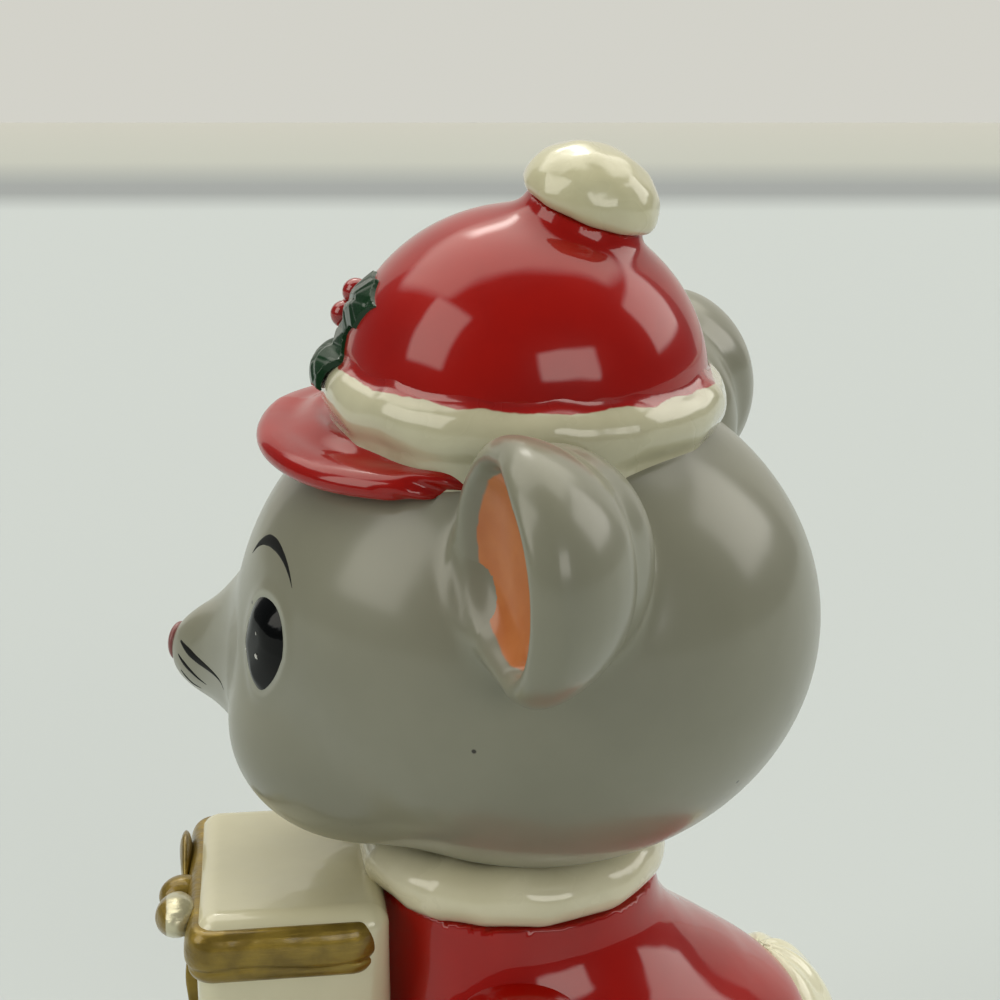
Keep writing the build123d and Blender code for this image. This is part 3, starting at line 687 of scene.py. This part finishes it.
def leafOutline():
    spines = [(0.0, 0.2), (0.25, 0.86), (0.52, 1.0), (0.78, 0.74), (1.0, 0.0)]
    line = []
    for (a, wa), (b, wb) in zip(spines, spines[1:]):
        for t in np.linspace(0, 1, 8, endpoint=False):
            wide = wa + (wb - wa) * t - holly["sag"] * math.sin(math.pi * t)
            line.append((holly["start"] + (a + (b - a) * t) * holly["length"], max(0.02, wide) * holly["width"]))
    line.append((holly["start"] + holly["length"], 0.0))
    return line + [(u, -v) for u, v in line[::-1][1:]]


leafFlat = flatForm(leafOutline(), step=0.08)
hatSkin = join(0.6, dome, bandRoll)
for number, turn in enumerate(holly["turns"], start=1):
    place = spot(turn=(0, 0, turn), on=hollyPlace)

    def leafForm(p, place=place):
        q = within(p, place)
        edge = leafFlat(q[:, 0], q[:, 1])
        rib = holly["rib"] * np.exp(-(q[:, 1] / 0.4) ** 2)
        veins = holly["vein"] * np.exp(-((((np.abs(q[:, 1]) * 0.8 - q[:, 0]) % 2.6) - 1.3) / 0.32) ** 2)
        top = hatSkin(p) - holly["relief"] * np.clip(0.3 - edge * 0.22, 0.12, 0.75) + rib + veins
        return np.maximum(np.maximum(top, edge), np.maximum(-(hatSkin(p) + 0.4), -q[:, 2] - 9))
    cast(f"hollyLeaf{number}", leafForm, [f"holly_leaf_{number}"], hollyGreen, cell=0.22)


def nodeTree(name, sockets):
    group = bpy.data.node_groups.new(name, "GeometryNodeTree")
    for label, kind in sockets:
        group.interface.new_socket(label, in_out="INPUT", socket_type=kind)
    group.interface.new_socket("Geometry", in_out="OUTPUT", socket_type="NodeSocketGeometry")
    return group, group.nodes.new("NodeGroupInput").outputs, adder(group)


def settle(name, group, values, material, nodes):
    # evaluates a node tree on a bare object and keeps the result as a plain mesh
    holder = bpy.data.objects.new(name + "Tree", bpy.data.meshes.new(name + "Tree"))
    bpy.context.scene.collection.objects.link(holder)
    modifier = holder.modifiers.new("build", "NODES")
    modifier.node_group = group
    for item in group.interface.items_tree:
        if item.item_type == "SOCKET" and item.in_out == "INPUT" and item.name in values:
            modifier[item.identifier] = values[item.name]
    depsgraph = bpy.context.evaluated_depsgraph_get()
    mesh = bpy.data.meshes.new_from_object(holder.evaluated_get(depsgraph))
    holder.modifiers.clear()
    bpy.data.objects.remove(holder)
    obj = bpy.data.objects.new(name, mesh)
    bpy.context.scene.collection.objects.link(obj)
    mesh.shade_smooth()
    wear(obj, material, nodes)
    report(f"{name}: {len(mesh.polygons)} faces")
    return obj


def dressedEnd(add, last, material):
    real = add("GeometryNodeRealizeInstances", {0: last})
    dress = add("GeometryNodeSetMaterial", {0: real.outputs[0], "Material": material})
    add("NodeGroupOutput", {0: dress.outputs[0]})


berrySizes = {"Count": 3, "Spread": 0.00165, "Berry Radius": 0.00155}  # metres


def berryTree(material):
    group, given, add = nodeTree("berries", [("Count", "NodeSocketInt"), ("Spread", "NodeSocketFloat"),
                                             ("Berry Radius", "NodeSocketFloat")])
    ring = add("GeometryNodeMeshCircle", dict(Vertices=given["Count"], Radius=given["Spread"]))
    ball = add("GeometryNodeMeshIcoSphere", dict(Subdivisions=4, Radius=given["Berry Radius"]))
    each = add("GeometryNodeInstanceOnPoints", dict(Points=ring.outputs[0], Instance=ball.outputs[0]))
    dressedEnd(add, each.outputs[0], material)
    return group


berries = settle("hollyBerries", berryTree(berryRed), berrySizes, berryRed,
                 ["holly_berry_1", "holly_berry_2", "holly_berry_3"])
berrySpot = spot(0, 0, holly["berriesAt"], turn=(0, 0, 90), on=hollyPlace)
berries.data.transform(Matrix.Translation(berrySpot.translation / 1000) @ berrySpot.to_3x3().to_4x4())
report("holly done")


# coat, collar and hem
coat = dict(height=60.4, radius=28.2, back=7.8, ventRadius=3.5, ventDepth=5)
# share of the height, then the radius and the place back as shares of the coat's own
coatTable = np.array([(-0.15, 0.99, 1.0), (0.0, 1.0, 1.0), (0.15, 1.0, 1.0), (0.30, 1.005, 1.0),
                      (0.45, 0.995, 1.0), (0.60, 0.965, 0.98), (0.70, 0.94, 0.93), (0.78, 0.815, 0.56),
                      (0.855, 0.69, 0.18), (0.93, 0.615, -0.06), (1.0, 0.59, -0.15)])


def throughTable(t, column):  # smooth line through the table's rows
    x, y = coatTable[:, 0], coatTable[:, column]
    m = np.gradient(y, x)
    i = np.clip(np.searchsorted(x, t) - 1, 0, len(x) - 2)
    h = x[i + 1] - x[i]
    s = np.clip((t - x[i]) / h, 0, 1)
    return ((2 * s ** 3 - 3 * s ** 2 + 1) * y[i] + (s ** 3 - 2 * s ** 2 + s) * h * m[i]
            + (-2 * s ** 3 + 3 * s ** 2) * y[i + 1] + (s ** 3 - s ** 2) * h * m[i + 1])


def coatForm(p):
    t = np.clip(p[:, 2] / coat["height"], -0.1, 1.0)
    r = throughTable(t, 1) * coat["radius"]
    c = throughTable(t, 2) * coat["back"]
    lean = np.abs(throughTable(np.clip(t + 0.01, -0.1, 1), 1) - throughTable(np.clip(t - 0.01, -0.1, 1), 1))
    lean = lean * coat["radius"] / (0.02 * coat["height"])
    side = (np.hypot(p[:, 0], p[:, 1] - c) - r) / np.sqrt(1 + lean ** 2)
    return np.maximum(side, np.maximum(p[:, 2] - coat["height"], -p[:, 2]))


def vent(p):
    away = np.hypot(p[:, 0], p[:, 1] - coat["back"])
    return np.maximum(away - coat["ventRadius"], np.abs(p[:, 2]) - coat["ventDepth"])


cast("coatBody", cut(0.25, coatForm, vent), ["coat"], redGlaze, cell=0.7)

collar = dict(at=(0, -1.5, 63.7), radius=14.2, halfThick=4.3, halfHigh=3.7,
              dents=dict(radius=17, width=8.5, rows=(-1.0, 2.4), depth=0.45, seed=11))
collarPlace = spot(*collar["at"])
collarRing = ringForm(collarPlace, collar["radius"], collar["halfThick"], collar["halfHigh"])
collarForm = cut(0.3, pushedIn(collarRing, fingerDents(collarPlace, **collar["dents"])), sunk(bareHead, 0.8))
cast("furCollar", collarForm, ["collar"], furGlaze, cell=0.45)

hem = dict(inner=27.6, line=[(0, 0), (30.4, 0), (31.3, 1.2), (31.6, 4.0), (30.9, 6.6), (28.6, 8.0), (0, 8.0)],
           dents=dict(radius=31, width=7.5, rows=(2.2, 6.0), depth=0.5, seed=21))
hemPlace = spot(0, coat["back"], 0)
hemRing = spun(hemPlace, hem["line"])


def hemBore(p):
    return np.hypot(p[:, 0], p[:, 1] - coat["back"]) - hem["inner"]


def ground(p):
    return p[:, 2]


hemForm = cut(0.2, pushedIn(hemRing, fingerDents(hemPlace, **hem["dents"])), hemBore, ground)
cast("furHem", hemForm, ["coat_hem"], furGlaze, cell=0.55)
report("coat done")


# gift box, its ribbon and bow
gift = dict(size=(30, 21.6, 24), top=62.4, back=17, turn=2.6, edge=2.6, sag=0.35)
giftWide, giftDeep, giftHigh = gift["size"]
giftPlace = spot(0, -gift["back"] - giftDeep / 2, gift["top"] - giftHigh / 2, turn=(0, 0, gift["turn"]))


def roundBox(d, edge):  # distance from a box with round edges, d being how far out each point is per axis
    return np.linalg.norm(np.maximum(d, 0), axis=1) + np.minimum(d.max(axis=1), 0) - edge


def giftForm(p):
    q = within(p, giftPlace)
    body = roundBox(np.abs(q) - np.array(gift["size"]) / 2 + gift["edge"], gift["edge"])
    return body + gift["sag"] * np.exp(-(q[:, 0] ** 2 + (q[:, 1] - 1) ** 2) / 90) * (q[:, 2] > 4)


cast("giftBox", cut(0.3, giftForm, sunk(coatForm, 0.6)), ["gift_box"], boxGlaze, cell=0.5)

ribbon = dict(high=6.2, drop=1.2, proud=1.3, backGap=1.2, corner=3.4, puff=1.5, groove=0.28, grooveAt=-1.3)
ribbonRise = giftHigh / 2 - ribbon["drop"] - ribbon["high"] / 2
ribbonPlace = spot(0, -(ribbon["proud"] + ribbon["backGap"]) / 2, ribbonRise, on=giftPlace)


def ribbonForm(p):
    q = within(p, ribbonPlace)
    half = np.array([giftWide / 2 + ribbon["proud"], (giftDeep + ribbon["proud"] - ribbon["backGap"]) / 2])
    flat = roundBox(np.abs(q[:, :2]) - half + ribbon["corner"], ribbon["corner"])
    fromGroove = q[:, 2] - ribbon["grooveAt"] + 0.25 * np.sin(q[:, 1] * 0.4)
    groove = ribbon["groove"] * np.exp(-(fromGroove / 0.35) ** 2)
    section = np.array([ribbon["puff"], ribbon["high"] / 2])
    s = np.stack([np.maximum(flat + ribbon["puff"] + groove, 0), q[:, 2]], axis=1) / section
    return np.maximum(bulge(s, section), -(flat + 5))


cast("goldRibbon", cut(0.2, ribbonForm, sunk(giftForm, 0.8)), ["ribbon"], goldGlaze, cell=0.35)

bow = dict(rise=1.2, out=5.8, forward=0.9, tilt=12, loop=2.7, long=5.6, fold=0.35, knot=(2.5, 2.9, 2.5),
           knotForward=0.4, pinched=0.62, swell=0.38, pressed={"left": 1.0, "right": 0.34},
           bareFrom={"left": -1.0, "right": 9.0})
strip = dict(out=2.2, splay=15, line=[(-2.2, 2.2), (-2.2, -15), (0, -13.2), (2.2, -15), (2.2, 2.2)], proud=0.75,
             half=0.45, wave=0.15, edge=0.35)
bowPlace = spot(0, -giftDeep / 2 - ribbon["proud"], ribbonRise, on=giftPlace)
cast("bowKnot", egg(spot(0, -bow["knotForward"], 0, on=bowPlace), bow["knot"]), ["bow_knot"], goldGlaze,
     cell=0.22)
tailFlat = flatForm(strip["line"], step=0.1)
for side, name in ((1, "left"), (-1, "right")):
    flat, bareFrom = bow["pressed"][name], bow["bareFrom"][name]  # the far loop lies pressed and is gold all over
    place = spot(side * bow["out"], -bow["forward"] * flat, bow["rise"], turn=(0, -side * bow["tilt"], 0), on=bowPlace)

    def loopForm(p, place=place, side=side, flat=flat):
        q = within(p, place)
        u = q[:, 0] * side / bow["long"]
        fat = bow["loop"] * (bow["pinched"] + bow["swell"] * np.clip(u + 0.5, 0, 1))
        s = np.stack([u, q[:, 1] / (fat * flat), q[:, 2] / fat], axis=1)
        near = np.linalg.norm(s, axis=1)
        body = (near - 1) * bow["loop"] * 0.8 * flat
        return body + bow["fold"] * np.exp(-(q[:, 2] / 0.55) ** 2) * np.clip(0.4 - u, 0, 1)

    def bare(p, place=place, bareFrom=bareFrom):
        return bareFrom - within(p, place)[:, 1]
    cast(f"bowLoop_{name}", loopForm, [f"bow_loop_{name}"], loopGlaze, cell=0.22, marks=dict(bare=bare))
    hanging = spot(side * strip["out"], -giftDeep / 2, ribbonRise - ribbon["high"] / 2, turn=(90, 0, 0), on=giftPlace)
    hanging = spot(turn=(0, 0, side * strip["splay"]), on=hanging)

    def streamerForm(p, hanging=hanging):
        q = within(p, hanging)
        edge = tailFlat(q[:, 0], q[:, 1]) + strip["edge"]
        deep = np.abs(q[:, 2] - strip["proud"]) - strip["half"] - strip["wave"] * np.sin(q[:, 1] * 0.9)
        return roundBox(np.stack([edge, deep], axis=1), strip["edge"])
    cast(f"bowTail_{name}", streamerForm, [f"bow_tail_{name}"], goldGlaze, cell=0.25)
report("gift done")


# arms: sleeves, cuffs and paws
arms = dict(shoulder=(17.5, -2, 45.5), arm=(22.6, -6, 40), elbow=(23, -12, 36.5), wrist=(19.2, -20, 36),
            radii=(9.2, 8.4, 7.8, 6.4), crease=0.32)
cuff = dict(core=4.6, half=(3.6, 2.9), dents=dict(radius=7.6, width=5.6, rows=(-0.9, 1.4), depth=0.4))
paw = dict(reach=6.2, half=(5.4, 5.2, 6.6), grooves=(-1.7, 1.5), groove=0.42, grooveFrom=8.0)
for side, name in ((1, "left"), (-1, "right")):
    points = [np.array(arms[key]) * [side, 1, 1] for key in ("shoulder", "arm", "elbow", "wrist")]
    along = Vector(points[3] - points[2]).normalized()
    across = Vector((0, 0, 1)).cross(along).normalized()
    wristPlace = Matrix.Translation(points[3]) @ Matrix([across, along.cross(across), along]).transposed().to_4x4()
    sleeve = limb(4.0, *zip(points, arms["radii"]))

    def creases(p, middle=points[2] + [-side * 5, 2, 2]):
        d = np.linalg.norm(p - middle, axis=1)
        return arms["crease"] * np.sin(d * 1.5) * np.exp(-((d - 8) / 5) ** 2)
    sleeveForm = cut(0.3, pushedIn(sleeve, creases), sunk(coatForm, 1.0), sunk(giftForm, -0.1))
    cast(f"sleeve_{name}_arm", sleeveForm, [f"sleeve_{name}"], redGlaze, cell=0.5)

    def cuffForm(p, wristPlace=wristPlace):
        q = within(p, wristPlace)
        s = np.stack([np.maximum(np.hypot(q[:, 0], q[:, 1]) - cuff["core"], 0), q[:, 2]], axis=1) / cuff["half"]
        return bulge(s, cuff["half"])
    dented = pushedIn(cuffForm, fingerDents(wristPlace, **cuff["dents"], seed=31 + side))
    cast(f"cuff_{name}_fur", cut(0.3, dented, sunk(coatForm, 0.6), sunk(giftForm, -0.1)), [f"cuff_{name}"],
         furGlaze, cell=0.35)

    hand = egg(spot(0, 0, paw["reach"], on=wristPlace), paw["half"])
    grooves = []
    for offset in paw["grooves"]:
        def groove(p, offset=offset, wristPlace=wristPlace):
            q = within(p, wristPlace)
            off = np.hypot(q[:, 0] - offset, (q[:, 1] - paw["half"][1]) * 0.35) - paw["groove"]
            return np.maximum(off, paw["grooveFrom"] - q[:, 2])
        grooves.append(groove)
    cast(f"paw_{name}_mitt", cut(0.5, hand, *grooves), [f"paw_{name}"], greyGlaze, cell=0.35)
report("arms done")


# feet and tail
feet = dict(out=11.5, forward=23.5, half=(9, 13.5, 7.6), turn=12, toeGap=2.9, groove=0.5, grooveRise=3.2,
            grooveEnd=-7.5)
for side, name in ((1, "left"), (-1, "right")):
    sole = spot(side * feet["out"], -feet["forward"], 0, turn=(0, 0, side * feet["turn"]))
    toes = []
    for offset in (-feet["toeGap"], feet["toeGap"]):
        def toe(p, offset=offset, sole=sole):
            q = within(p, sole)
            aside = q[:, 0] - offset * (1 + (-8 - q[:, 1]) * 0.06)
            off = np.hypot(aside, (q[:, 2] - feet["grooveRise"]) * 0.2) - feet["groove"]
            return np.maximum(off, q[:, 1] - feet["grooveEnd"])
        toes.append(toe)
    footForm = cut(0.6, egg(sole, feet["half"]), *toes, ground, sunk(hemRing, 0.8))
    cast(f"foot_{name}_toes", footForm, [f"foot_{name}"], greyGlaze, cell=0.45)


# metres and degrees
tailSizes = {"Bend Radius": 0.03338, "Start": 98.0, "Sweep": -72.0, "Root Radius": 0.003, "Tip Radius": 0.0012}


def tailTree(material):
    group, given, add = nodeTree("tail", [(label, "NodeSocketFloat") for label in tailSizes])
    start, sweep = (maths(add, "RADIANS", given[label]) for label in ("Start", "Sweep"))
    arc = add("GeometryNodeCurveArc", {"Resolution": 90, "Radius": given["Bend Radius"], "Start Angle": start,
                                       "Sweep Angle": sweep}, mode="RADIUS")
    factor = add("GeometryNodeSplineParameter").outputs["Factor"]
    taper = {"Value": factor, "To Min": given["Root Radius"], "To Max": given["Tip Radius"]}
    thick = add("ShaderNodeMapRange", taper).outputs[0]
    tip = {"Value": factor, "From Min": 1.0, "From Max": 0.965, "To Min": 0.05}
    size = maths(add, "MULTIPLY", thick, add("ShaderNodeMapRange", tip, interpolation_type="SMOOTHERSTEP").outputs[0])
    radius = add("GeometryNodeSetCurveRadius", dict(Curve=arc.outputs["Curve"], Radius=size))
    lift = add("ShaderNodeCombineXYZ", dict(Z=thick))
    raised = add("GeometryNodeSetPosition", dict(Geometry=radius.outputs[0], Offset=lift.outputs[0]))
    circle = add("GeometryNodeCurvePrimitiveCircle", dict(Resolution=28, Radius=1.0))
    tube = add("GeometryNodeCurveToMesh", {"Curve": raised.outputs[0], "Profile Curve": circle.outputs["Curve"],
                                           "Scale": size, "Fill Caps": True})
    dressedEnd(add, tube.outputs[0], material)
    return group


tail = settle("tailRoll", tailTree(greyGlaze), tailSizes, greyGlaze, ["tail"])
tail.data.transform(Matrix.Translation((0, coat["back"] / 1000, 0)))
report("feet and tail done")


# bag on the back, with its gathered neck drawn over the shoulder
bag = dict(at=(-9, 31, 28.2), half=(13, 11.4, 15), folds=9, foldDepth=0.4, neckRadius=3.4)
bagPlace = spot(*bag["at"])


def bagFolds(p):
    q = within(p, bagPlace)
    around = np.arctan2(q[:, 1], q[:, 0])
    high = np.clip((q[:, 2] - 2) / 12, 0, 1)
    return bag["foldDepth"] * high * (0.5 - 0.5 * np.cos(around * bag["folds"] + 0.6 * np.sin(q[:, 2] * 0.3)))


bagForm = cut(0.3, pushedIn(egg(bagPlace, bag["half"]), bagFolds), sunk(coatForm, 0.8), sunk(hemRing, 0.4))
cast("bagBody", bagForm, ["sack"], sackGlaze, cell=0.5)
neckPoints = [(-15.5, 28.15, 34.7), (-21.0, 22.5, 38.5), (-24.6, 13.0, 43.5), (-23.6, 1.0, 48.8),
              (-18.5, -10.0, 48.5)]
neck = limb(3.0, *[(p, bag["neckRadius"]) for p in neckPoints])
cast("bagNeck", cut(0.3, neck, sunk(coatForm, 0.8)), ["sack_neck"], sackGlaze, cell=0.4)
report("bag done")


# floor: a pale card that darkens in a soft straight line far behind the figurine, a band of painted shade where the
# floor meets the backdrop
card = dict(along=(-0.9962, 0.0872, 0), before=-3.0, behind=2.3, sides=3.0, reach=2.4, tones=[
    (0.0, (187, 194, 195)), (0.515, (187, 194, 195)), (0.57, (141, 146, 148)), (0.60, (141, 146, 148)),
    (0.70, (177, 180, 173)), (0.955, (184, 184, 177))])


def floorCard():
    material = bpy.data.materials.new("floorCard")
    add = adder(cleared(material))
    away = {0: add("ShaderNodeTexCoord").outputs["Object"], 1: [part / card["reach"] for part in card["along"]]}
    depth = add("ShaderNodeVectorMath", away, operation="DOT_PRODUCT").outputs["Value"]
    ramp = add("ShaderNodeValToRGB", dict(Fac=depth))
    first, *between, last = card["tones"]
    for at, tone in between:
        ramp.color_ramp.elements.new(at).color = srgb(*tone)
    ramp.color_ramp.elements[0].color = srgb(*first[1])
    ramp.color_ramp.elements[-1].position = last[0]
    ramp.color_ramp.elements[-1].color = srgb(*last[1])
    body = add("ShaderNodeBsdfPrincipled", {"Base Color": ramp.outputs["Color"], "Roughness": 0.6,
                                            "Specular IOR Level": 0.2})
    add("ShaderNodeOutputMaterial", {0: body.outputs[0]})
    return material


along = Vector(card["along"])
sideways = Vector((along.y, -along.x, 0))
reaches = [(card[u], v * card["sides"]) for u, v in (("before", -1), ("behind", -1), ("behind", 1), ("before", 1))]
floorMesh = bpy.data.meshes.new("floor")
floorMesh.from_pydata([tuple(along * u + sideways * v) for u, v in reaches], [], [(3, 2, 1, 0)])
floor = bpy.data.objects.new("floor", floorMesh)
bpy.context.scene.collection.objects.link(floor)
floor.data.materials.append(floorCard())

# a still studio: dim room, pale backdrop behind, soft ceiling, three window boards and a small bright one
room = dict(strength=0.12, tint=(0.93, 0.97, 1.0, 1), boards=[
    dict(at=(174, 12), half=(42, 52), strength=0.66, tint=(0.985, 0.975, 0.89, 1), soft=0.05),
    dict(at=(-176, 66), half=(42, 25), strength=2.4, tint=(1.0, 0.97, 0.87, 1), soft=0.12),
    dict(at=(-73, 32), half=(15, 18.5), strength=3.1, tint=(1.0, 0.97, 0.88, 1), soft=0.04),
    dict(at=(23, 21), half=(18, 9.5), strength=3.5, tint=(1.0, 0.97, 0.9, 1), soft=0.04),
    dict(at=(104, 28), half=(16, 15), strength=3.0, tint=(1.0, 0.97, 0.9, 1), soft=0.04),
    dict(at=(-173, 50), half=(9, 4), strength=8.0, tint=(1.0, 0.97, 0.9, 1), soft=0.06)])
world = bpy.data.worlds.new("studio")
bpy.context.scene.world = world
addRoom = adder(cleared(world))
facing = addRoom("ShaderNodeTexCoord").outputs["Generated"]


def towards(direction):
    return addRoom("ShaderNodeVectorMath", {0: facing, 1: direction}, operation="DOT_PRODUCT").outputs["Value"]


strength, tint = room["strength"], room["tint"]
for board in room["boards"]:
    turned, raised = map(math.radians, board["at"])
    centre = Vector((math.cos(raised) * math.cos(turned), math.cos(raised) * math.sin(turned), math.sin(raised)))
    level = Vector((-math.sin(turned), math.cos(turned), 0))
    ahead = maths(addRoom, "MAXIMUM", towards(centre), 0.001)
    mask = maths(addRoom, "GREATER_THAN", towards(centre), 0.0)
    for direction, half in zip((level, centre.cross(level)), board["half"]):
        off = maths(addRoom, "ABSOLUTE", maths(addRoom, "DIVIDE", towards(direction), ahead))
        reach = math.tan(math.radians(half))
        edge = smooth(addRoom, off, reach + board["soft"], reach - board["soft"])
        mask = maths(addRoom, "MULTIPLY", mask, edge)
    strength = blend(addRoom, "FLOAT", mask, strength, board["strength"])
    tint = blend(addRoom, "RGBA", mask, tint, board["tint"])
addRoom("ShaderNodeOutputWorld", {0: addRoom("ShaderNodeBackground", dict(Strength=strength, Color=tint)).outputs[0]})

view = dict(lens=64.8, sensor=36, nearest=0.01, turn=85, drop=15.5, at=(0.194935, -0.019939, 0.159696))
camera = bpy.data.cameras.new("photoView")
camera.lens = view["lens"]
camera.sensor_width = view["sensor"]
camera.clip_start = view["nearest"]
cameraObj = bpy.data.objects.new("photoView", camera)
bpy.context.scene.collection.objects.link(cameraObj)
turn, drop = math.radians(view["turn"]), math.radians(view["drop"])
right = Vector((math.cos(turn), math.sin(turn), 0))
back = Vector((math.sin(turn) * math.cos(drop), -math.cos(turn) * math.cos(drop), math.sin(drop)))
facingBack = Matrix([right, back.cross(right), back]).transposed().to_4x4()
cameraObj.matrix_world = Matrix.Translation(view["at"]) @ facingBack
bpy.context.scene.camera = cameraObj
bpy.context.scene.view_settings.view_transform = "Standard"

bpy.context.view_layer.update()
report("scene ready")
